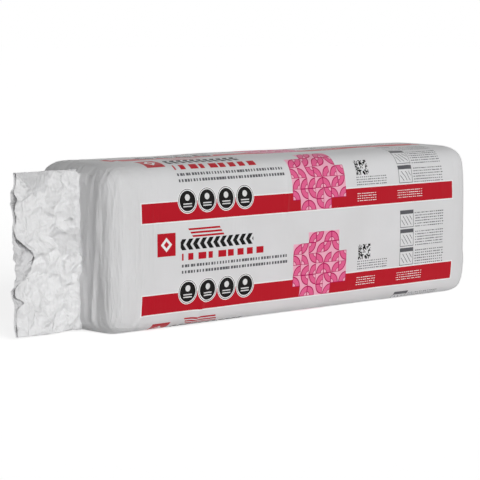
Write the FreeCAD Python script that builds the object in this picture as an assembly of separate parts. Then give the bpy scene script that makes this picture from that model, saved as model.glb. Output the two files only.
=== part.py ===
"""A printed film bag of mineral wool insulation batts, as it lies on a floor, on its long narrow side.

The batts stand on edge, face to face, and fill the bag. The film is drawn tight round them, so the long edges are
rounded and the two broad sides and the top are a little crowned, and the underside is flat where it rests. At the -X end
the mouth of the bag is gathered into a flat upright tail. At the +X end a short heat-sealed seam closes the film.

Units are millimetres. +X runs along the bag from the tail to the seam, +Z is up. The origin is in the middle of the
footprint, on the floor.
"""

import os

import FreeCAD
import Part

# Batts
BATT_LENGTH = 1219.0  # 48 in
BATT_WIDTH = 387.0  # 15.25 in, upright in the bag
BATT_PRESSED = 72.0  # thickness in the bag of a batt that is 76 mm thick when it is free
BATT_COUNT = 4

# Film bag
FILM = 1.0  # wall of the bag, a stand-in for film about 0.1 mm thick
SLACK = 0.5  # between the wool and the film, all round
SIDE_CROWN = 6.0  # how far each broad side swells past its own edges
TOP_CROWN = 4.0
LONG_RADIUS = 60.0  # outside of the film along the four long edges
END_RADIUS = 44.0  # outside of the film round both ends

# Tail at the mouth
TAIL_LENGTH = 184.0
TAIL_ASIDE = 18.0  # from the middle of the bag's depth towards -Y
TAIL_TOP_DROP = 12.0  # from the bag's top to the tail's top edge
TAIL_FOOT = 5.0  # from the floor to the tail's lower edge
TAIL_ROOT_THICK = 26.0  # the folded layers together, where they leave the bag
TAIL_TIP_THICK = 10.0
TAIL_WAVE = 5.0  # how far the tail wanders to each side
TAIL_BENDS = 3

# Seam at the closed end
SEAM_LENGTH = 18.0
SEAM_THICK = 3.0

BURY = 20.0  # how far tail and seam run in past the bag's rounded ends, before what lies inside the bag is cut off

WALL = FILM + SLACK  # from the outside of the film to the wool
BAG_LENGTH = BATT_LENGTH + 2 * WALL
BAG_HEIGHT = BATT_WIDTH + TOP_CROWN + 2 * WALL


def crowned_block(length, depth, height, side_crown, top_crown, long_radius, end_radius, foot):
    """A block with a flat underside at height foot, crowned sides and top, and rounded edges, centred on X and Y."""
    half = depth / 2 - side_crown
    low, high = foot, foot + height - top_crown
    middle = (low + high) / 2
    point = FreeCAD.Vector
    start = -length / 2
    corners = [
        point(start, -half, low),
        point(start, half, low),
        point(start, half, high),
        point(start, -half, high),
    ]
    outline = Part.Wire(
        [
            Part.LineSegment(corners[0], corners[1]).toShape(),
            Part.Arc(corners[1], point(start, depth / 2, middle), corners[2]).toShape(),
            Part.Arc(corners[2], point(start, 0, high + top_crown), corners[3]).toShape(),
            Part.Arc(corners[3], point(start, -depth / 2, middle), corners[0]).toShape(),
        ]
    )
    block = Part.Face(outline).extrude(point(length, 0, 0))
    block = block.makeFillet(long_radius, [e for e in block.Edges if is_along_x(e, length)])
    return block.makeFillet(end_radius, [e for e in block.Edges if is_at_an_end(e, length)])


def is_along_x(edge, length):
    """Whether an edge runs the whole length of a block."""
    return abs(edge.BoundBox.XLength - length) < 1e-3


def is_at_an_end(edge, length):
    """Whether an edge lies in one of a block's two end planes."""
    box = edge.BoundBox
    return box.XLength < 1e-3 and abs(abs(box.XMin) - length / 2) < 1e-3


def wool_stack():
    """The whole stack of batts, shaped by the film that holds it."""
    return bag_block(WALL)


def bag_block(inset):
    """The outside of the bag, drawn in by inset all round."""
    return crowned_block(
        BAG_LENGTH - 2 * inset,
        BATT_COUNT * BATT_PRESSED + 2 * (SIDE_CROWN + WALL - inset),
        BAG_HEIGHT - 2 * inset,
        SIDE_CROWN,
        TOP_CROWN,
        LONG_RADIUS - inset,
        END_RADIUS - inset,
        inset,
    )


def batt(stack, index):
    """One batt of the stack, counted from the -Y side; the outer two fill out the crowned sides."""
    left = (index - BATT_COUNT / 2) * BATT_PRESSED
    right = left + BATT_PRESSED
    if index == 0:
        left -= 2 * SIDE_CROWN
    if index == BATT_COUNT - 1:
        right += 2 * SIDE_CROWN
    slab = Part.makeBox(
        BAG_LENGTH,
        right - left,
        BAG_HEIGHT,
        FreeCAD.Vector(-BAG_LENGTH / 2, left, 0),
    )
    return stack.common(slab)


def wavy_side(start, end, start_half, end_half, side):
    """Arcs along one side of the tail's plan, from start to end in X, that swing to and fro across it."""
    step = (end - start) / TAIL_BENDS

    def at(share):
        return side * (start_half + (end_half - start_half) * share)

    edges = []
    for bend in range(TAIL_BENDS):
        swing = TAIL_WAVE if bend % 2 else -TAIL_WAVE
        share = bend / TAIL_BENDS
        half_step = 0.5 / TAIL_BENDS
        edges.append(
            Part.Arc(
                FreeCAD.Vector(start + bend * step, at(share), 0),
                FreeCAD.Vector(start + (bend + 0.5) * step, at(share + half_step) + swing, 0),
                FreeCAD.Vector(start + (bend + 1) * step, at(share + 2 * half_step), 0),
            ).toShape()
        )
    return edges


def tail():
    """The gathered mouth of the bag: a flat upright fin of folded film, thicker at its root."""
    root = BURY - BAG_LENGTH / 2
    tip = -TAIL_LENGTH - BAG_LENGTH / 2
    root_half, tip_half = TAIL_ROOT_THICK / 2, TAIL_TIP_THICK / 2
    near = wavy_side(root, tip, root_half, tip_half, -1)
    far = wavy_side(root, tip, root_half, tip_half, 1)
    tip_edge = Part.LineSegment(
        FreeCAD.Vector(tip, -tip_half, 0), FreeCAD.Vector(tip, tip_half, 0)
    ).toShape()
    root_edge = Part.LineSegment(
        FreeCAD.Vector(root, root_half, 0), FreeCAD.Vector(root, -root_half, 0)
    ).toShape()
    plan = Part.Wire(Part.sortEdges([*near, tip_edge, *far, root_edge])[0])
    fin = Part.Face(plan).extrude(FreeCAD.Vector(0, 0, BAG_HEIGHT - TAIL_TOP_DROP - TAIL_FOOT))
    fin.translate(FreeCAD.Vector(0, -TAIL_ASIDE, TAIL_FOOT))
    return fin


def seam():
    """The heat-sealed seam up the middle of the closed end."""
    return Part.makeBox(
        SEAM_LENGTH + BURY,
        SEAM_THICK,
        BAG_HEIGHT - 2 * LONG_RADIUS,
        FreeCAD.Vector(BAG_LENGTH / 2 - BURY, -SEAM_THICK / 2, LONG_RADIUS),
    )


def film_bag():
    """The bag: one skin round the stack, with its tail and its seam."""
    return bag_block(0).fuse([tail(), seam()]).cut(bag_block(FILM)).removeSplitter()


def main():
    os.makedirs("parts", exist_ok=True)
    stack = wool_stack()
    to_origin = FreeCAD.Vector((TAIL_LENGTH - SEAM_LENGTH) / 2, 0, 0)
    pieces = {"film_bag": film_bag()}
    for index in range(BATT_COUNT):
        pieces[f"batt_{index + 1}"] = batt(stack, index)
    for name, shape in pieces.items():
        shape.translate(to_origin)
        shape.exportStep(f"parts/{name}.step")
        print(name, "solids", len(shape.Solids), "valid", shape.isValid(), "litres", shape.Volume / 1e6)


main()
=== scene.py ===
"""The look of a printed film bag packed tight with mineral wool batts, on a plain stage."""

import math

import bmesh
import bpy
import numpy as np
from bpy.props import FloatProperty, FloatVectorProperty, IntProperty, PointerProperty
from mathutils import Euler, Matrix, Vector
from mathutils.geometry import delaunay_2d_cdt


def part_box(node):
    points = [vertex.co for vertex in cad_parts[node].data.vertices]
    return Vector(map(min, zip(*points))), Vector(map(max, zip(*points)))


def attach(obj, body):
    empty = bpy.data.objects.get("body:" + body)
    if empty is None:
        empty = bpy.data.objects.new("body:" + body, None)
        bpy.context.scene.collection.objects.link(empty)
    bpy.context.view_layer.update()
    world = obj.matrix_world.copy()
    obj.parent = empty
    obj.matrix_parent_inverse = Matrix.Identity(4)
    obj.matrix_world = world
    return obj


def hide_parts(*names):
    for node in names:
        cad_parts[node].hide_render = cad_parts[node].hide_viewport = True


bl_info = {
    "name": "Insulation bag",
    "version": (1, 0, 0),
    "blender": (4, 5, 0),
    "location": "View3D > Sidebar > Bag",
    "description": "Builds a printed film bag of mineral wool batts, its tail, its seam and a plain stage",
    "category": "Object",
}

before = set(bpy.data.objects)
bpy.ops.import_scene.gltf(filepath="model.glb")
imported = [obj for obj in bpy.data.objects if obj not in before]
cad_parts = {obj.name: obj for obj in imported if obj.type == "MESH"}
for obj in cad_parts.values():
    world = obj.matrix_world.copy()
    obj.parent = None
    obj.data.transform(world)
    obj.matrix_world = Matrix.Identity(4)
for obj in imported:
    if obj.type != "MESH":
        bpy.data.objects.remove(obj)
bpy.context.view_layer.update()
BAG_LOW, BAG_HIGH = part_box("film_bag")
WOOL_LOW, WOOL_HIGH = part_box("batt_1")
WALL = 0.0015  # from the wool to the outside of the film
END_LOW = WOOL_LOW.x - WALL  # the bag's end at the tail
END_HIGH = WOOL_HIGH.x + WALL  # the bag's closed end
SEAM_CLEAR = 0.048  # from the bag's underside and top to the seam's ends
SEAM_FILM = 0.0008  # thickness shown at the seam
MIDDLE = Vector(((END_LOW + END_HIGH) / 2, 0, (BAG_LOW.z + BAG_HIGH.z) / 2))


# Properties


def size(name, description, default):
    """A length that a user may change."""
    return FloatProperty(name=name, description=description, default=default, unit="LENGTH", precision=4)


def colour(name, description, default):
    """A colour that a user may change."""
    return FloatVectorProperty(
        name=name, description=description, default=default, size=3, min=0, max=1, subtype="COLOR"
    )


def number(name, description, default):
    """A plain number that a user may change."""
    return FloatProperty(name=name, description=description, default=default)


class BagShape(bpy.types.PropertyGroup):
    """The filled part of the bag."""

    end_radius: size("End radius", "Rounding round both ends", 0.044)
    upper_power: number("Upper squareness", "How square the two upper long edges are", 5.9)
    lower_power: number("Lower squareness", "How square the two lower long edges are", 6.6)
    girth_parts: IntProperty(name="Girth parts", description="Faces round the girth", default=220)
    ring_step: size("Ring step", "Length of the faces along the bag", 0.006)
    swell: size("Swell", "Depth of the slow unevenness of the wool under the film", 0.0016)
    crease: size("Crease", "Height of the sharpest crease in the film", 0.0030)
    belly: size("Belly", "How far the broad sides swell halfway along", 0.0085)
    seed: IntProperty(name="Seed", description="Start of the random draws", default=11)


class TailShape(bpy.types.PropertyGroup):
    """The gathered mouth of the bag."""

    length: size("Length", "From the bag's end to the free edge", 0.183)
    aside: size("Aside", "From the middle of the bag's depth towards the front", 0.018)
    foot: size("Foot", "From the floor to the lower edge", 0.006)
    drop: size("Drop", "From the bag's top to the upper edge", 0.012)
    root_gap: size("Root gap", "Thickness of both layers together at the root", 0.026)
    tip_gap: size("Tip gap", "Thickness of both layers together at the free edge", 0.0055)
    fold_size: size("Fold size", "Width of the large crumples", 0.040)
    fold_depth: size("Fold depth", "Depth of the large crumples", 0.022)
    crinkle_size: size("Crinkle size", "Width of the small crumples", 0.017)
    crinkle_depth: size("Crinkle depth", "Depth of the small crumples", 0.0130)
    film: size("Film", "Thickness shown at the edges", 0.0005)
    seed: IntProperty(name="Seed", description="Start of the random draws", default=23)


class FilmLook(bpy.types.PropertyGroup):
    """The film's own colour, its inks and its painted shade."""

    film: colour("Film", "Milky film", (0.78, 0.78, 0.79))
    # Also laid along the creases near both ends, as painted shade
    shade: colour("Shade", "Film where the wool shows through a little", (0.70, 0.70, 0.70))
    edge: colour("Edge", "Thin pale border of the band", (0.90, 0.90, 0.90))
    red: colour("Red", "Band, square and stripes", (0.50, 0.009, 0.021))
    black: colour("Black", "Discs, chevrons and cells", (0.006, 0.005, 0.005))
    grey: colour("Grey", "Fine lines and frames", (0.11, 0.11, 0.12))
    tail: colour("Tail", "Film of the tail, with air behind it", (0.90, 0.90, 0.905))
    # Painted shade: greys the tail's back layer, its folded-back notch and its downward-facing patch
    single: colour("Single", "Film of one layer alone, with shade behind it", (0.60, 0.60, 0.61))
    deep_pink: colour("Deep pink", "Outlines of the tiles", (0.50, 0.003, 0.10))
    pink: colour("Pink", "Middle tone of the tiles", (0.80, 0.13, 0.30))
    pale_pink: colour("Pale pink", "Light tone of the tiles", (0.90, 0.45, 0.58))
    roughness: number("Roughness", "Film's roughness", 0.34)


class WoolLook(bpy.types.PropertyGroup):
    """The batts' colour."""

    light: colour("Light", "Upper fibres", (0.46, 0.41, 0.30))
    dark: colour("Dark", "Between the fibres", (0.22, 0.19, 0.13))


class StageLook(bpy.types.PropertyGroup):
    """Floor, light and camera."""

    sky: number("Sky", "Level of the even light", 0.38)
    key: number("Key", "Strength of the soft lamp in front", 2.2)
    floor: number("Floor", "Share of light that the floor gives back", 0.75)
    lens: number("Lens", "Focal length in millimetres", 150.7)
    turn: number("Turn", "Angle round the bag in degrees, from its broad side", 42.5)
    pitch: number("Pitch", "Angle above the horizon in degrees", 5.98)
    distance: size("Distance", "From the camera to the bag's middle", 5.084)
    aside: size("Aside", "How far the bag's middle lies to the right of the view's middle", 0.0620)
    above: size("Above", "How far the bag's middle lies above the view's middle", 0.0245)


GROUPS = {
    "bag_shape": BagShape,
    "tail_shape": TailShape,
    "film_look": FilmLook,
    "wool_look": WoolLook,
    "stage_look": StageLook,
}


# The print of one repeat, in millimetres. Each box is low and high along the bag from its tail end, then low and high
# up from the top of the red band.

REPEATS = 6  # round the girth
MARGIN = 60  # what one repeat prints below its band's top
BAND = (79, 1146, -45, 0)
BAND_EDGE = (76, 1149, -48, 3)
BAND_NOTES = ((783, 853, -33, -10, 3), (932, 1028, -33, -10, 5))  # each with the start of its random draws
SQUARE = (124, 179, 88, 142)
DIAMOND = (151.5, 115)
STRIPES = (232, 330, 128, 152)
STRIPE_PITCH, STRIPE_WIDTH, STRIPE_SLANT = 8.4, 4.6, 0.7
CHEVRONS = (194, 424, 99, 125)
CHEVRON_PITCH, CHEVRON_WIDTH, CHEVRON_SLANT = 21.0, 13, 0.75
BLOCKS = (198, 462, 75, 91)
TEXT_ROWS = (198, 540, 44, 66)
SCATTER = (786, 831, 32, 70)
SCATTER_CELL = 3.2
SCATTER_ROWS = (783, 896, 7, 30)
BADGE_PITCH = 60.6
BADGES = (187.0, 429.4)
TILE = 26.4
TILES = (558, 742.8, -45, 113.4)
FIGURE_PITCH = 49.0
FIGURES = (941, 993, 4, 149)
FIGURE_FRAME = 1.6
FIGURE_ROWS = (997, 1111, 4, 149)


# Materials


class Value:
    """A number on a node's socket, with arithmetic that adds Math nodes."""

    def __init__(self, look, socket):
        self.look = look
        self.socket = socket

    def math(self, operation, *values):
        made = self.look.node("ShaderNodeMath", {"operation": operation}, dict(enumerate(values)))
        return Value(self.look, made.outputs[0])

    def __add__(self, other):
        return self.math("ADD", self, other)

    __radd__ = __add__

    def __sub__(self, other):
        return self.math("SUBTRACT", self, other)

    def __rsub__(self, other):
        return self.math("SUBTRACT", other, self)

    def __mul__(self, other):
        return self.math("MULTIPLY", self, other)

    __rmul__ = __mul__

    def __truediv__(self, other):
        return self.math("DIVIDE", self, other)

    def __mod__(self, other):
        return self.math("FLOORED_MODULO", self, other)

    def __gt__(self, other):
        return self.math("GREATER_THAN", self, other)

    def __lt__(self, other):
        return self.math("LESS_THAN", self, other)

    def __abs__(self):
        return self.math("ABSOLUTE", self)

    def root(self):
        return self.math("SQRT", self)

    def floor(self):
        return self.math("FLOOR", self)

    def most(self, other):
        return self.math("MAXIMUM", self, other)

    def within(self, low, high):
        return (self > low) * (self < high)


class Look:
    """The node tree of a material or of the world."""

    def __init__(self, owner):
        owner.use_nodes = True
        self.owner = owner
        self.tree = owner.node_tree
        self.tree.nodes.clear()

    def node(self, kind, settings=None, inputs=None):
        """A node with its settings, then the values or links of its sockets."""
        made = self.tree.nodes.new(kind)
        for key, value in (settings or {}).items():
            setattr(made, key, value)
        for key, value in (inputs or {}).items():
            socket = made.inputs[key]
            if isinstance(value, Value):
                value = value.socket
            if isinstance(value, bpy.types.NodeSocket):
                self.tree.links.new(value, socket)
            else:
                socket.default_value = value
        return made

    def value(self, socket):
        return Value(self, socket)

    def split(self, vector):
        """The three numbers of a vector."""
        return [self.value(s) for s in self.node("ShaderNodeSeparateXYZ", inputs={0: vector}).outputs]

    def join(self, x, y, z=0.0):
        """A vector from three numbers."""
        return self.node("ShaderNodeCombineXYZ", inputs={0: x, 1: y, 2: z}).outputs[0]

    def noise(self, vector, scale, detail=3.0, roughness=0.5):
        made = self.node(
            "ShaderNodeTexNoise",
            inputs={"Vector": vector, "Scale": scale, "Detail": detail, "Roughness": roughness},
        )
        return self.value(made.outputs[0])

    def noise_vector(self, vector, scale, reach):
        """A small random shift of a place."""
        made = self.node("ShaderNodeTexNoise", inputs={"Vector": vector, "Scale": scale, "Detail": 1.0})
        return self.node(
            "ShaderNodeVectorMath", {"operation": "SCALE"}, {0: made.outputs[1], "Scale": reach}
        ).outputs[0]

    def cells(self, x, y):
        """A random number for each whole pair of numbers."""
        made = self.node(
            "ShaderNodeTexWhiteNoise", {"noise_dimensions": "2D"}, {"Vector": self.join(x.floor(), y.floor())}
        )
        return self.value(made.outputs[0])

    def paint(self, under, over, mask):
        """Colour over laid on colour under where mask is 1."""
        made = self.node("ShaderNodeMix", {"data_type": "RGBA"}, {0: mask, 6: under, 7: over})
        return made.outputs[2]

    def bump(self, height, distance, strength=1.0):
        return self.node(
            "ShaderNodeBump", inputs={"Strength": strength, "Distance": distance, "Height": height}
        ).outputs[0]

    def finish(self, shader, output="ShaderNodeOutputMaterial"):
        self.node(output, inputs={0: shader.outputs[0]})
        return self.owner


def new_look(name):
    """The empty node tree of a new material."""
    return Look(bpy.data.materials.new(name))


def rgba(value):
    return (*value, 1.0)


def dashes(look, along, across, pitch, seed):
    """Blocks of random width along a row, with a gap after each."""
    fill = look.cells(along / pitch, across * 0 + seed)
    return (along % pitch) < (fill * 0.45 + 0.42) * pitch


def inside(along, across, box):
    """1 within a box of the print."""
    return along.within(box[0], box[1]) * across.within(box[2], box[3])


def rows(look, along, across, box, row_pitch, row_share, pitch, seed):
    """Rows of fine dashes that fill a box of the print."""
    place = inside(along, across, box)
    row = (across - box[2]) / row_pitch
    line = (row % 1.0) < row_share
    fill = look.cells(along / pitch, row + seed)
    return place * line * ((along % pitch) < (fill * 0.5 + 0.4) * pitch)


def printed(look, base, inks, along, across):
    """The print of one repeat. Both numbers are in millimetres, from the bag's tail end and up from a band's top."""
    red, black, grey = rgba(inks.red), rgba(inks.black), rgba(inks.grey)
    pale = rgba(inks.edge)
    out = look.paint(base, pale, inside(along, across, BAND_EDGE))
    out = look.paint(out, red, inside(along, across, BAND))
    for *box, seed in BAND_NOTES:
        out = look.paint(out, pale, rows(look, along, across, box, 6.0, 0.3, 8.0, seed))
    out = tiles(look, out, inks, along, across)
    out = badges(look, out, inks, along, across)
    out = look.paint(out, red, inside(along, across, SQUARE))
    reach = abs(along - DIAMOND[0]) + abs(across - DIAMOND[1])
    out = look.paint(out, pale, (reach < 17) * (reach > 8))
    up = across - STRIPES[2]
    slant = along + up * STRIPE_SLANT
    stripes = inside(slant, across, STRIPES) * (up % STRIPE_PITCH < STRIPE_WIDTH)
    out = look.paint(out, red, stripes)
    middle = (CHEVRONS[2] + CHEVRONS[3]) / 2
    arms = (along - abs(across - middle) * CHEVRON_SLANT) % CHEVRON_PITCH
    out = look.paint(out, black, inside(along, across, CHEVRONS) * (arms < CHEVRON_WIDTH))
    out = look.paint(out, red, inside(along, across, BLOCKS) * dashes(look, along, across, 31.0, 7))
    out = look.paint(out, grey, rows(look, along, across, TEXT_ROWS, 14.5, 0.46, 9.0, 11))
    scatter = look.cells(along / SCATTER_CELL, across / SCATTER_CELL) > 0.48
    out = look.paint(out, black, inside(along, across, SCATTER) * scatter)
    out = look.paint(out, grey, rows(look, along, across, SCATTER_ROWS, 6.2, 0.38, 7.0, 13))
    return diagrams(look, out, inks, along, across)


def badges(look, base, inks, along, across):
    """A row of round badges that straddle the band's top: a black disc in a pale ring, with a plain sign on it."""
    x = ((along - BADGES[0]) % BADGE_PITCH) - BADGE_PITCH / 2
    reach = (x * x + across * across).root()
    row = along.within(*BADGES)
    out = look.paint(base, rgba(inks.edge), row * (reach < 29.6))
    out = look.paint(out, rgba(inks.black), row * (reach < 27.6))
    out = look.paint(out, rgba(inks.edge), row * (reach < 26.2))
    out = look.paint(out, rgba(inks.black), row * (reach < 23.8))
    dot = (x * x + (across - 8) * (across - 8)).root() < 7.5
    bars = (abs(x) < 13) * across.within(-14, -3) * ((across + 14) % 6.0 < 2.6)
    return look.paint(out, rgba(inks.edge), row * dot.most(bars) * 0.85)


def tiles(look, base, inks, along, across):
    """A loose cluster of quarter-round tiles in pinks, outlined in deep pink."""
    x, y = (along - TILES[0]) / TILE, (across - TILES[2]) / TILE
    column, line = x.floor(), y.floor()
    draw = look.cells(x, y)
    second = look.cells(x + 40, y)
    aside, above = (column - 3) / 3.8, (line - 2.5) / 3.3
    shown = (aside * aside + above * above + second * 0.35) < 1.02
    place = inside(along, across, TILES) * shown
    u, v = x % 1.0, y % 1.0
    flip_u, flip_v = draw > 0.5, second > 0.5
    u = u + flip_u * (1 - u * 2)
    v = v + flip_v * (1 - v * 2)
    reach = (u * u + v * v).root()
    out = look.paint(base, rgba(inks.pale_pink), place)
    out = look.paint(out, rgba(inks.pink), place * (reach < 0.93))
    out = look.paint(out, rgba(inks.pale_pink), place * (reach < 0.42))
    rim = reach.within(0.87, 0.97).most((u < 0.05).most(v < 0.05)).most(reach.within(0.36, 0.42))
    return look.paint(out, rgba(inks.deep_pink), place * rim)


def diagrams(look, base, inks, along, across):
    """Three small framed figures one above another, with fine lines beside them."""
    y = (across - FIGURES[2]) % FIGURE_PITCH
    column = inside(along, across, FIGURES)
    out = look.paint(base, rgba(inks.grey), column * (y < 45))
    frame_inside = along.within(FIGURES[0] + FIGURE_FRAME, FIGURES[1] - FIGURE_FRAME)
    paper = column * frame_inside * y.within(FIGURE_FRAME, 45 - FIGURE_FRAME) * (y < 35)
    out = look.paint(out, rgba(inks.film), paper)
    hatching = ((along + y * 0.8) % 13.0) < 2.2
    figure = column * along.within(FIGURES[0] + 6, FIGURES[1] - 6) * y.within(6, 30)
    out = look.paint(out, rgba(inks.grey), figure * hatching)
    lines = rows(look, along, across, FIGURE_ROWS, 7.0, 0.34, 8.0, 17)
    return look.paint(out, rgba(inks.grey), lines * (y < 40))


def film_material(name, inks, girth=None, crinkle=0.0):
    """Milky film over wool, with painted shade along the creases near the bag's ends. With a girth, in metres, it
    carries the print, repeated round it.
    """
    look = new_look(name)
    place = look.node("ShaderNodeTexCoord").outputs["Object"]
    slow = look.noise(place, 7.0, 2.0)
    base = look.paint(rgba(inks.film), rgba(inks.shade), (slow - 0.35) * 1.6)
    if crinkle:
        base = look.paint(rgba(inks.tail), rgba(inks.film), (slow - 0.35) * 1.2)
        # Painted shade on the tail, where the tail's own attribute asks for it
        single = look.value(look.node("ShaderNodeAttribute", {"attribute_name": "single"}).outputs["Fac"])
        base = look.paint(base, rgba(inks.single), single)
    soft = look.noise(place, 26.0, 4.0, 0.55)
    fine = look.noise(place, 150.0, 3.0, 0.6)
    x, y, z = look.split(place)
    bend = soft * 0.9
    drawn = look.noise(look.join(x * 75 + bend, y * 7, z * 5), 1.0, 3.0)
    drawn_end = look.noise(look.join(x * 14, y * 62 + bend, z * 4), 1.0, 3.0)
    near = ((END_LOW + 0.18 - x) / 0.13).most((x - (END_HIGH - 0.10)) / 0.13).most(0.12)
    near = look.value(look.node("ShaderNodeClamp", inputs={0: near}).outputs[0])
    ridge_height_and_shade = (abs(drawn - 0.5) + abs(drawn_end - 0.5)) * near
    height = soft * 0.7 + fine * 0.10 - ridge_height_and_shade * 5.5
    # Painted shade along the creases near both ends
    base = look.paint(base, rgba(inks.shade), ridge_height_and_shade * 1.3)
    if girth:
        mapped = look.node("ShaderNodeUVMap", {"uv_map": "film"}).outputs[0]
        along, around, _ = look.split(mapped)
        repeat = girth * 1000 / REPEATS
        across = ((around * 1000 + repeat / 2 + MARGIN) % repeat) - MARGIN
        base = printed(look, base, inks, along * 1000, across)
    if crinkle:
        for scale, depth in ((38.0, 4.0), (90.0, 2.0)):
            shift = look.noise_vector(place, 22.0, 0.02)
            bent = look.node("ShaderNodeVectorMath", {"operation": "ADD"}, {0: place, 1: shift}).outputs[0]
            folds = look.node("ShaderNodeTexVoronoi", {"feature": "F1"}, {"Vector": bent, "Scale": scale})
            height = height + look.value(folds.outputs["Distance"]) * (depth * crinkle)
    shader = look.node(
        "ShaderNodeBsdfPrincipled",
        inputs={
            "Base Color": base,
            "Roughness": fine * 0.14 + (inks.roughness - 0.05) + slow * 0.06,
            "Normal": look.bump(height, 0.0016, 0.75),
        },
    )
    shader.inputs["IOR"].default_value = 1.45
    shader.inputs["Specular IOR Level"].default_value = 0.12
    return look.finish(shader)


def wool_material(wool):
    """Matted mineral fibres, in layers along the batt."""
    look = new_look("mineral_wool")
    place = look.node("ShaderNodeTexCoord").outputs["Object"]
    x, y, z = look.split(place)
    layers = look.noise(look.join(x * 14, y * 160, z * 14), 1.0, 4.0, 0.6)
    clumps = look.noise(place, 45.0, 5.0, 0.65)
    fibres = look.noise(look.join(x * 260, y * 900, z * 260), 1.0, 2.0)
    mixed = layers * 0.5 + clumps * 0.35 + fibres * 0.3
    shader = look.node(
        "ShaderNodeBsdfPrincipled",
        inputs={
            "Base Color": look.paint(rgba(wool.dark), rgba(wool.light), mixed),
            "Roughness": clumps * 0.1 + 0.85,
            "Normal": look.bump(mixed, 0.002),
        },
    )
    return look.finish(shader)


# Meshes


def smooth_step(value):
    share = np.clip(value, 0.0, 1.0)
    return share * share * (3 - 2 * share)


def section(shape):
    """Points at equal distances round the bag's section, from the underside's middle up the front, and its girth."""
    angle = np.linspace(0, 2 * math.pi, 8001)
    c, s = -np.sin(angle), -np.cos(angle)
    power = np.where(s > 0, shape.upper_power, shape.lower_power)
    half_depth = (BAG_HIGH.y - BAG_LOW.y) / 2
    half_height = (BAG_HIGH.z - BAG_LOW.z) / 2
    scale = (np.abs(c) ** power + np.abs(s) ** power) ** (-1 / power)
    points = np.stack([c * scale * half_depth, s * scale * half_height], 1)
    run = np.concatenate([[0], np.cumsum(np.hypot(*np.diff(points, axis=0).T))])
    marks = np.linspace(0, run[-1], shape.girth_parts + 1)[:-1]
    ring = np.stack([np.interp(marks, run, points[:, k]) for k in (0, 1)], 1)
    front = np.interp(math.pi / 2, angle, run)
    return ring, marks - front, run[-1]


def stations(shape):
    """Each ring's place along the bag and how far it is drawn in, from one end's middle to the other's."""
    half = (BAG_HIGH.y - BAG_LOW.y) / 2
    radius = shape.end_radius
    flat = [(0.0, inset) for inset in np.linspace(half, radius, 26)[:-1]]
    turn = [
        (radius * (1 - math.cos(a)), radius * (1 - math.sin(a))) for a in np.linspace(0, math.pi / 2, 10)
    ]
    length = END_HIGH - END_LOW
    count = int((length - 2 * radius) / shape.ring_step)
    straight = [(x, 0.0) for x in np.linspace(radius, length - radius, count)[1:-1]]
    first = flat + turn
    last = [(length - x, inset) for x, inset in reversed(first)]
    return first + straight + last


def drawn_ring(ring, inset, radius, half_depth, half_height):
    """A section drawn in evenly all round: along its normals as far as the rounding goes, then down to a line."""
    tangent = np.roll(ring, -1, 0) - np.roll(ring, 1, 0)
    tangent /= np.hypot(*tangent.T)[:, None]
    inward = np.stack([tangent[:, 1], -tangent[:, 0]], 1)
    inward *= -np.sign((inward * ring).sum(1).mean())
    drawn = ring + inward * min(inset, radius)
    if inset > radius:
        left = half_depth - inset, half_height - inset
        whole = half_depth - radius, half_height - radius
        drawn = drawn * (left[0] / whole[0], left[1] / whole[1])
    return drawn


def extruded_rings(bm, parts, count):
    """A tube of rings with parts points each, made by extruding a circle; the rings' vertices, in order."""
    ring = bmesh.ops.create_circle(bm, cap_ends=False, segments=parts, radius=1.0)["verts"]
    edges = list(bm.edges)
    rings = [ring]
    for _ in range(count - 1):
        grown = bmesh.ops.extrude_edge_only(bm, edges=edges)["geom"]
        fresh = {g for g in grown if isinstance(g, bmesh.types.BMVert)}
        edges = [g for g in grown if isinstance(g, bmesh.types.BMEdge) and fresh.issuperset(g.verts)]
        ring = [next(e.other_vert(v) for e in v.link_edges if e.other_vert(v) in fresh) for v in ring]
        rings.append(ring)
    return rings


def map_film(bm, along, around, girth):
    """The film's own map: metres along the bag, and metres round it from the front's middle."""
    film = bm.loops.layers.uv.new("film")
    for face in bm.faces:
        values = [around[loop.vert.index] for loop in face.loops]
        wraps = max(values) - min(values) > girth / 2
        for loop, value in zip(face.loops, values):
            turned = value + girth if wraps and value < 0 else value
            loop[film].uv = (along[loop.vert.index], turned)


def facets(places, size, depth, rng):
    """Heights at places of a crumpled sheet: flat facets about size wide that meet in sharp creases."""
    low, high = places.min(0) - size, places.max(0) + size
    columns, lines = np.maximum(2, np.ceil((high - low) / size)).astype(int)
    grid = np.stack(np.meshgrid(np.arange(columns + 1), np.arange(lines + 1)), -1).reshape(-1, 2)
    corners = low + (grid + rng.uniform(-0.38, 0.38, grid.shape)) * size
    heights = rng.uniform(-0.5, 0.5, len(corners)) * depth
    made = delaunay_2d_cdt([Vector(p) for p in corners.tolist()], [], [], 0, 1e-9)
    out = np.zeros(len(places))
    for face in made[2]:
        source = [made[3][k][0] for k in face]
        a, b, c = corners[source]
        edge = np.array([b - a, c - a]).T
        share = np.linalg.solve(edge, (places - a).T)
        inside = (share[0] >= -1e-6) & (share[1] >= -1e-6) & (share.sum(0) <= 1 + 1e-6)
        h = heights[source]
        out[inside] = (h[0] + share[0] * (h[1] - h[0]) + share[1] * (h[2] - h[0]))[inside]
    return out


def slow_waves(along, around, rng, count, shortest, longest):
    """An even sum of slow waves in random directions, from about -1 to 1."""
    out = np.zeros(len(along))
    for _ in range(count):
        turn = rng.uniform(0, math.pi)
        length = rng.uniform(shortest, longest)
        phase = rng.uniform(0, 2 * math.pi)
        out += np.sin(2 * math.pi * (along * math.cos(turn) + around * math.sin(turn)) / length + phase)
    return out / math.sqrt(count)


def crease(along, around, middle, reach, turn, width):
    """A fold that runs about round the bag: its height from 0 to 1. turn bends it, width is its half width."""
    line = middle[0] + turn * np.sin((around - middle[1]) * 9 + middle[1] * 40)
    sharp = np.exp(-np.abs(along - line) / width)
    return sharp * smooth_step(1.6 - np.abs(around - middle[1]) / reach * 1.6)


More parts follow.
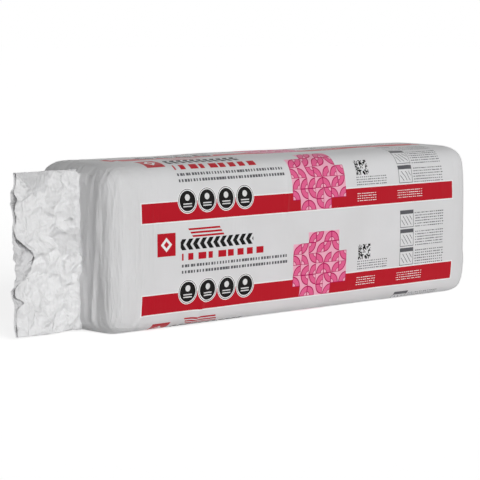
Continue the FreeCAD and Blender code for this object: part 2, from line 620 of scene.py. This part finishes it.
def leaf(along, around, middle, long_half, short_half, turn):
    """A leaf-shaped fold: its height from 0 to 1."""
    x, y = along - middle[0], around - middle[1]
    u = x * math.cos(turn) + y * math.sin(turn)
    v = y * math.cos(turn) - x * math.sin(turn)
    body = np.clip(1 - (u / long_half) ** 2, 0, 1)
    return body * np.exp(-((v / short_half) ** 2))


def bag_relief(shape, along, around, girth, length):
    """How far the film stands out from the plain bag, in metres."""
    rng = np.random.default_rng(shape.seed)
    out = shape.swell * (0.8 + 0.5 * slow_waves(along, around, rng, 9, 0.16, 0.55))
    for _ in range(13):
        middle = (rng.uniform(0.0, 0.105), rng.uniform(-0.12, 0.12) + rng.integers(-1, 3) * girth / 4)
        fold = crease(along, around, middle, rng.uniform(0.11, 0.19), rng.uniform(-0.006, 0.006), 0.007)
        out += shape.crease * rng.uniform(0.5, 1.1) * fold
    for run, count in ((along, 22), (length - along, 14)):
        for _ in range(count):
            middle = (rng.uniform(0.006, 0.125), rng.uniform(-girth / 4, girth * 0.75))
            reach = rng.uniform(0.05, 0.16)
            strength = shape.crease * rng.uniform(0.35, 1.0) * math.exp(-middle[0] / 0.09)
            turn, width = rng.uniform(-0.005, 0.005), rng.uniform(0.002, 0.0045)
            out += strength * crease(run, around, middle, reach, turn, width)
    for _ in range(9):
        middle = (rng.uniform(0.2, length - 0.15), rng.uniform(-girth / 4, girth * 0.75))
        turn = rng.uniform(0.9, 2.2)
        breadth = rng.uniform(0.006, 0.012)
        out += shape.crease * 1.15 * leaf(along, around, middle, rng.uniform(0.05, 0.12), breadth, turn)
    front_foot = -girth / 4 * 0.62
    out += shape.crease * 1.6 * leaf(along, around, (0.062, front_foot), 0.042, 0.006, 1.35)
    out += shape.crease * 1.3 * leaf(along, around, (0.085, front_foot + 0.012), 0.050, 0.005, 1.75)
    return out


def end_relief(shape, places, tail_end):
    """How far the film stands out from a flat end, in metres; at the tail end it rises to the tail's root."""
    rng = np.random.default_rng(shape.seed + (1 if tail_end else 2))
    large = facets(places, 0.060, 2.2 * shape.crease, rng)
    small = facets(places, 0.022, 0.6 * shape.crease, rng)
    out = 0.5 * shape.crease + large + small
    if not tail_end:
        out = out + 0.006 * np.clip(1 - (places[:, 0] / 0.13) ** 2, 0, 1)
    else:
        out = out + 0.007 * np.exp(-np.abs(places[:, 0] + 0.018) / 0.016)
        for _ in range(14):
            line = rng.uniform(-0.135, 0.135) + rng.uniform(-0.03, 0.03) * (places[:, 1] - MIDDLE.z) / 0.2
            fold = np.exp(-(((places[:, 0] - line) / rng.uniform(0.004, 0.009)) ** 2))
            out = out + shape.crease * rng.uniform(0.45, 1.15) * fold
    return np.maximum(out, 0.0)


def finished_object(name, bm, material):
    """A piece at the origin from a bmesh, smooth shaded."""
    for face in bm.faces:
        face.smooth = True
    mesh = bpy.data.meshes.new(name)
    bm.to_mesh(mesh)
    bm.free()
    piece = bpy.data.objects.new(name, mesh)
    bpy.context.scene.collection.objects.link(piece)
    mesh.materials.append(material)
    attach(piece, "root")
    return piece


def walled(piece, thickness):
    """The piece with a wall, half of it to each side."""
    wall = piece.modifiers.new("wall", "SOLIDIFY")
    wall.thickness = thickness
    wall.offset = 0
    return piece


def plain_body(shape):
    """The bag's smooth closed form with its map, each vertex's place along and round the bag, and the girth."""
    ring, around, girth = section(shape)
    half_depth = (BAG_HIGH.y - BAG_LOW.y) / 2
    half_height = (BAG_HIGH.z - BAG_LOW.z) / 2
    places = stations(shape)
    bm = bmesh.new()
    along_layer = bm.verts.layers.float.new("along")
    around_layer = bm.verts.layers.float.new("around")
    rings = extruded_rings(bm, len(ring), len(places))
    for verts, (x, inset) in zip(rings, places):
        drawn = drawn_ring(ring, inset, shape.end_radius, half_depth, half_height)
        for vert, (y, z), turned in zip(verts, drawn, around):
            vert.co = (END_LOW + x, MIDDLE.y + y, MIDDLE.z + z)
            vert[along_layer] = x
            vert[around_layer] = turned
    bm.verts.index_update()
    map_film(bm, [v[along_layer] for v in bm.verts], [v[around_layer] for v in bm.verts], girth)
    bmesh.ops.remove_doubles(bm, verts=bm.verts, dist=2e-5)
    bmesh.ops.recalc_face_normals(bm, faces=bm.faces)
    bm.normal_update()
    along = np.array([v[along_layer] for v in bm.verts])
    turned = np.array([v[around_layer] for v in bm.verts])
    return bm, along, turned, girth


def bag_body(shape, inks):
    """The filled part of the bag."""
    bm, along, turned, girth = plain_body(shape)
    half_height = (BAG_HIGH.z - BAG_LOW.z) / 2
    co = np.array([v.co for v in bm.verts])
    outward = np.array([v.normal for v in bm.verts])
    relief = bag_relief(shape, along, turned, girth, END_HIGH - END_LOW)
    side = smooth_step(1.25 - 1.25 * np.abs(outward[:, 0]))
    flat = np.stack([co[:, 1], co[:, 2]], 1)
    left, right = end_relief(shape, flat, True), end_relief(shape, flat, False)
    end = np.where(outward[:, 0] < 0, left, right)
    tall = smooth_step((np.minimum(co[:, 2] - BAG_LOW.z, BAG_HIGH.z - co[:, 2])) / 0.05)
    level = 1 - ((co[:, 2] - MIDDLE.z) / half_height) ** 2
    share = np.clip(along / (END_HIGH - END_LOW), 0, 1)
    relief = relief + shape.belly * level * np.abs(outward[:, 1]) * np.sin(share * math.pi) ** 0.5
    depth = relief * side + end * (1 - side) * (0.35 + 0.65 * tall)
    depth = depth * smooth_step((co[:, 2] - BAG_LOW.z - 0.002) / 0.02)
    moved = co + outward * depth[:, None]
    moved[:, 2] = np.maximum(moved[:, 2], BAG_LOW.z)
    for vert, place in zip(bm.verts, moved.tolist()):
        vert.co = place
    piece = finished_object("film_body", bm, film_material("printed_film", inks, girth))
    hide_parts("film_bag")
    return piece


def tail_reach(up, front):
    """The share of the tail's length that a layer has at a height from 0 to 1."""
    ripple = 0.012 * np.sin(up * 23 + 1.0) + 0.008 * np.sin(up * 51)
    bite = 0.25 * smooth_step(1.4 - np.abs(up - 0.45) / 0.115)
    nick = 0.09 * np.exp(-(((up - 0.21) / 0.022) ** 2))
    near = 0.965 + ripple - bite - nick
    far = 0.985 + 0.8 * ripple - 0.03 * np.exp(-(((up - 0.40) / 0.08) ** 2))
    return np.where(front > 0.5, near, far)


def tail_folds(u, w, tall):
    """How far the front layer stands forward in its own folds, in metres, and where it is folded back or carries
    painted shade.
    """
    w = w + 0.010 * np.sin(u * 27 + 1) + 0.005 * np.sin(u * 61)
    u = u + 0.020 * np.sin(w * 58) + 0.010 * np.sin(w * 131)
    edge = 0.985 - 0.15 * np.clip(1 - np.abs(u - 0.62) / np.where(u < 0.62, 0.26, 0.36), 0, 1)
    back = smooth_step((w - edge) * tall / 0.004)
    reach = 1 - ((u - 0.22) / 0.18) ** 2 - (np.maximum(w - 0.42, 0) / 0.065) ** 2
    lobe = np.clip(reach * 5, 0, 1) * smooth_step((w - 0.27) / 0.12)
    patch = smooth_step((0.44 - u) / 0.03) * smooth_step((u - 0.02) / 0.04)
    patch = patch * ((w > 0.48) & (w < 0.635)) * (w - 0.50) / 0.135
    crease_line = np.exp(-np.abs(w - 0.345 - 0.03 * u) * tall / 0.006) * smooth_step(u * 4)
    # Where the tail gets painted shade: the folded-back strip and the patch whose slope faces down
    grey = np.maximum(back * (w < 1.1), (patch != 0) * 0.6)
    return 0.009 * lobe + 0.008 * patch - 0.006 * crease_line, back, grey


def tail_crumples(shape, x, z, front):
    """How far the crumples stand out, in metres: those that both layers share, then each layer's own."""
    rng = np.random.default_rng(shape.seed)
    flat = np.stack([x.ravel(), z.ravel()], 1)
    flat = flat + 0.004 * np.sin(flat[:, ::-1] * 90)
    shared = facets(flat, shape.fold_size, shape.fold_depth * 0.7, rng).reshape(x.shape)
    layers = []
    for _ in range(2):
        large = facets(flat, shape.fold_size * 0.7, shape.fold_depth * 0.4, rng)
        small = facets(flat, shape.crinkle_size, shape.crinkle_depth, rng)
        fine = facets(flat, shape.crinkle_size * 0.5, shape.crinkle_depth * 0.45, rng)
        layers.append((large + small + fine).reshape(x.shape))
    return shared, np.where(front, layers[0], layers[1])


def tail(shape, inks):
    """The gathered mouth: a flattened, crumpled sleeve of film, open at its free edge."""
    parts, count = 320, 84
    half = parts // 2
    step = np.arange(parts)
    front = (step < half).astype(float)
    up = np.where(step < half, (step + 0.5) / half, 1 - (step - half + 0.5) / half)
    share = np.linspace(0, 1, count)
    u, w = np.meshgrid(share, up, indexing="ij")
    side = np.where(front > 0.5, -1.0, 1.0)[None, :] * np.ones_like(u)
    low, high = BAG_LOW.z + shape.foot, BAG_HIGH.z - shape.drop
    reach = tail_reach(up, front)[None, :] * shape.length
    x = END_LOW + 0.004 - u * (reach + 0.004)
    z = low + w * (high - low)
    gap = shape.tip_gap + (shape.root_gap - shape.tip_gap) * (1 - smooth_step(u * 2.2))
    lens = np.sqrt(np.clip(1 - np.abs(2 * w - 1) ** 16, 0, 1))
    shared, own = tail_crumples(shape, x, z, side < 0)
    grow = 0.25 + 0.75 * smooth_step((u - 0.01) / 0.14)
    forward, back, grey = tail_folds(u, w, high - low)
    apart = np.maximum(gap * 0.5 * lens + own * grow * lens, 0.0012)
    apart = np.where(side < 0, apart + forward * lens * smooth_step(u * 12), apart)
    centre = (shared + 0.010 * np.sin(u * 3.0) * (w - 0.5)) * grow
    y = MIDDLE.y - shape.aside + centre + side * apart
    y = np.where(side < 0, y + back * (apart + gap * 0.35), y)
    y = np.clip(y, MIDDLE.y - 0.06, MIDDLE.y + 0.05)
    z = z + grow * 0.25 * np.roll(shared, 9, axis=1)
    z = np.clip(z, BAG_LOW.z + 0.001, BAG_HIGH.z - 0.002)
    bm = bmesh.new()
    single = bm.verts.layers.float.new("single")
    rings = extruded_rings(bm, parts, count)
    # Share of painted shade: on the front layer where it is folded back or in its patch, evenly on the back layer
    tone = np.where(side < 0, grey * 0.75, 0.55)
    for k, verts in enumerate(rings):
        for i, vert in enumerate(verts):
            vert.co = (x[k, i], y[k, i], z[k, i])
            vert[single] = tone[k, i]
    bmesh.ops.recalc_face_normals(bm, faces=bm.faces)
    middle = MIDDLE.y - shape.aside
    if sum(f.normal.y * (-1 if f.calc_center_median().y < middle else 1) for f in bm.faces) < 0:
        bmesh.ops.reverse_faces(bm, faces=bm.faces)
    piece = walled(finished_object("film_tail", bm, film_material("tail_film", inks, crinkle=1.0)), shape.film)
    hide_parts("film_bag")
    return piece


def seam(shape, inks):
    """The crimped heat seal up the middle of the closed end."""
    low, high = BAG_LOW.z + SEAM_CLEAR, BAG_HIGH.z - SEAM_CLEAR
    bm = bmesh.new()
    bmesh.ops.create_grid(bm, x_segments=12, y_segments=150, size=1.0)
    rng = np.random.default_rng(shape.seed + 5)
    flat = np.array([(v.co.x, v.co.y) for v in bm.verts])
    reach = BAG_HIGH.x - END_HIGH
    across = (flat[:, 0] + 1) / 2
    up = (flat[:, 1] + 1) / 2
    bend = facets(np.stack([across * reach, up * (high - low)], 1), 0.03, 0.004, rng)
    crimp = 0.00035 * np.sin(across * 2 * math.pi * 5)
    for vert, a, b, out in zip(bm.verts, across, up, (bend * across + crimp)):
        vert.co = (END_HIGH - 0.003 + a * (reach + 0.002), MIDDLE.y + out, low + b * (high - low))
    piece = walled(finished_object("film_seam", bm, film_material("seam_film", inks, crinkle=0.15)), SEAM_FILM)
    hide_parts("film_bag")
    return piece


# Operators


class OBJECT_OT_bag_body(bpy.types.Operator):
    """Make the filled part of the bag, with its print"""

    bl_idname = "object.bag_body"
    bl_label = "Bag body"

    def execute(self, context):
        bag_body(context.scene.bag_shape, context.scene.film_look)
        return {"FINISHED"}


class OBJECT_OT_bag_tail(bpy.types.Operator):
    """Make the crumpled tail at the bag's mouth"""

    bl_idname = "object.bag_tail"
    bl_label = "Bag tail"

    def execute(self, context):
        tail(context.scene.tail_shape, context.scene.film_look)
        return {"FINISHED"}


class OBJECT_OT_bag_seam(bpy.types.Operator):
    """Make the heat seal at the bag's closed end"""

    bl_idname = "object.bag_seam"
    bl_label = "Bag seam"

    def execute(self, context):
        seam(context.scene.tail_shape, context.scene.film_look)
        return {"FINISHED"}


class OBJECT_OT_bag_wool(bpy.types.Operator):
    """Give the batts in the bag their wool"""

    bl_idname = "object.bag_wool"
    bl_label = "Batts"

    def execute(self, context):
        material = wool_material(context.scene.wool_look)
        for name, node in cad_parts.items():
            if name.startswith("batt"):
                for holder in node.material_slots:
                    holder.material = material
        return {"FINISHED"}


class OBJECT_OT_bag_stage(bpy.types.Operator):
    """Make the floor, the light and the camera"""

    bl_idname = "object.bag_stage"
    bl_label = "Stage"

    def execute(self, context):
        look = context.scene.stage_look
        floor(look)
        light(look)
        camera(look)
        context.scene.view_settings.view_transform = "Standard"
        return {"FINISHED"}


# Stage


SKY_LOW, SKY_FALL = 1.15, 1.10  # the sky's level at the horizon, and how much dimmer it is overhead
SKY_ON_FLOOR = SKY_LOW - SKY_FALL * 2 / 3  # the sky's light on a level floor, as a share of its level
KEY_FROM = (-0.24, -1.0, 0.22)  # towards the lamp
KEY_SPREAD = 38  # degrees across the lamp
KEY_ON_FLOOR = 0.209  # height of the lamp's direction, as a share


def seen_directly(look):
    """1 where a ray comes from the camera, a reflection or a transmission."""
    path = look.node("ShaderNodeLightPath")
    rays = [look.value(path.outputs[n]) for n in ("Is Camera Ray", "Is Glossy Ray", "Is Transmission Ray")]
    return rays[0].most(rays[1]).most(rays[2])


def floor(stage):
    """A plain pale floor that shows as white and keeps the bag's shadow."""
    bm = bmesh.new()
    bmesh.ops.create_grid(bm, x_segments=1, y_segments=1, size=60.0)
    mesh = bpy.data.meshes.new("floor")
    bm.to_mesh(mesh)
    bm.free()
    piece = bpy.data.objects.new("floor", mesh)
    bpy.context.scene.collection.objects.link(piece)
    look = new_look("pale_floor")
    lit = look.node("ShaderNodeBsdfDiffuse", inputs={"Color": (stage.floor,) * 3 + (1.0,)})
    lift = 1 - stage.floor * (stage.sky * SKY_ON_FLOOR + stage.key * KEY_ON_FLOOR / math.pi)
    glow = look.node("ShaderNodeEmission", inputs={"Strength": seen_directly(look) * lift})
    both = look.node("ShaderNodeAddShader", inputs={0: lit.outputs[0], 1: glow.outputs[0]})
    mesh.materials.append(look.finish(both))


def light(stage):
    """A sky that is dimmer overhead, and one very soft lamp low in front, a little to the tail's side."""
    world = bpy.data.worlds.new("studio")
    bpy.context.scene.world = world
    look = Look(world)
    share = seen_directly(look)
    high = look.split(look.node("ShaderNodeTexCoord").outputs["Generated"])[2]
    level = (SKY_LOW - high.most(0.0) * SKY_FALL) * stage.sky
    strength = share + (1 - share) * level
    background = look.node(
        "ShaderNodeBackground", inputs={"Color": (1.0, 1.0, 1.0, 1.0), "Strength": strength}
    )
    look.finish(background, "ShaderNodeOutputWorld")
    lamp = bpy.data.lights.new("key", "SUN")
    lamp.energy = stage.key
    lamp.angle = math.radians(KEY_SPREAD)
    holder = bpy.data.objects.new("key", lamp)
    holder.rotation_euler = Vector(KEY_FROM).to_track_quat("Z", "Y").to_euler()
    bpy.context.scene.collection.objects.link(holder)


def camera(stage):
    """The camera, at a low angle on the tail's side of the front."""
    turn, pitch = math.radians(stage.turn), math.radians(stage.pitch)
    ahead = Vector((math.sin(turn) * math.cos(pitch), math.cos(turn) * math.cos(pitch), -math.sin(pitch)))
    right = Vector((math.cos(turn), -math.sin(turn), 0))
    up = right.cross(ahead)
    data = bpy.data.cameras.new("camera")
    data.lens = stage.lens
    data.sensor_width = 36
    data.clip_end = 200
    holder = bpy.data.objects.new("camera", data)
    holder.location = MIDDLE - right * stage.aside - up * stage.above - ahead * stage.distance
    holder.rotation_euler = Euler((math.pi / 2 - pitch, 0, -turn))
    bpy.context.scene.collection.objects.link(holder)
    bpy.context.scene.camera = holder


class VIEW3D_PT_insulation_bag(bpy.types.Panel):
    """The bag's sizes, its looks and its operators"""

    bl_idname = "VIEW3D_PT_insulation_bag"
    bl_label = "Insulation bag"
    bl_space_type = "VIEW_3D"
    bl_region_type = "UI"
    bl_category = "Bag"

    def draw(self, context):
        for operator in OPERATORS:
            self.layout.operator(operator.bl_idname)
        for name in GROUPS:
            group = getattr(context.scene, name)
            box = self.layout.box()
            for key in group.__annotations__:
                box.prop(group, key)


OPERATORS = [
    OBJECT_OT_bag_body,
    OBJECT_OT_bag_tail,
    OBJECT_OT_bag_seam,
    OBJECT_OT_bag_wool,
    OBJECT_OT_bag_stage,
]


def register():
    for made in [*GROUPS.values(), *OPERATORS, VIEW3D_PT_insulation_bag]:
        bpy.utils.register_class(made)
    for name, group in GROUPS.items():
        setattr(bpy.types.Scene, name, PointerProperty(type=group))


def unregister():
    for name in GROUPS:
        delattr(bpy.types.Scene, name)
    for made in reversed([*GROUPS.values(), *OPERATORS, VIEW3D_PT_insulation_bag]):
        bpy.utils.unregister_class(made)


def main():
    register()
    bpy.ops.object.bag_body()
    bpy.ops.object.bag_tail()
    bpy.ops.object.bag_seam()
    bpy.ops.object.bag_wool()
    bpy.ops.object.bag_stage()
    bpy.context.view_layer.update()


if __name__ == "__main__":
    main()
